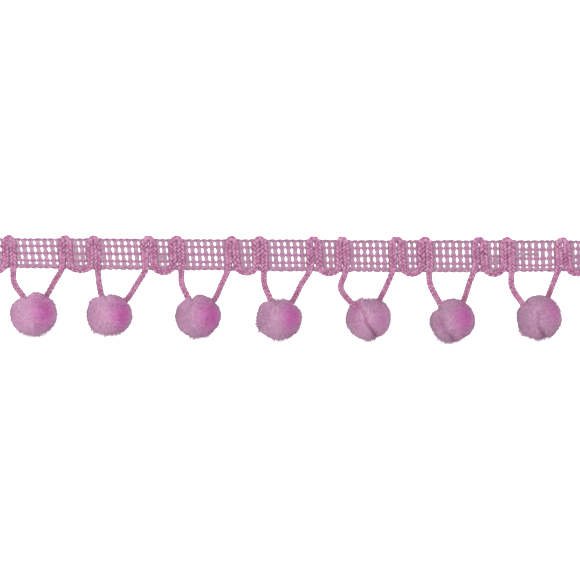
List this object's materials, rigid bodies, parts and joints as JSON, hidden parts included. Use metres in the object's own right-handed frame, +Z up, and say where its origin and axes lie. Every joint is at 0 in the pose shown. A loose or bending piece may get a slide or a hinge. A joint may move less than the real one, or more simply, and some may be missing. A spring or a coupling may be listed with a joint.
{
  "type": "pompom fringe trim",
  "caption": "Narrow net tape with one looped cord along its face that carries a row of small round pompoms below its lower edge.",
  "frame": {"origin": "middle of the tape's back face, on its middle rib, where it lies on the surface", "axes": "+X along the trim, +Y across it towards the tape's top edge, away from the pompoms, +Z up from the surface, out of the tape's face"},
  "size_m": [0.1332, 0.0237, 0.0094],
  "materials": {
    "tape_yarn": "warp-knitted textured yarn, dull mauve pink",
    "cord_yarn": "soft plaited yarn, deeper pink than the tape",
    "pile": "dense shorn yarn pile, velvety, orchid pink"
  },
  "bodies": {
    "root": {"tape": "tape_yarn", "cord": "cord_yarn", "pompom_1": "pile", "pompom_2": "pile", "pompom_3": "pile", "pompom_4": "pile", "pompom_5": "pile", "pompom_6": "pile", "pompom_7": "pile"}
  },
  "joints": []
}
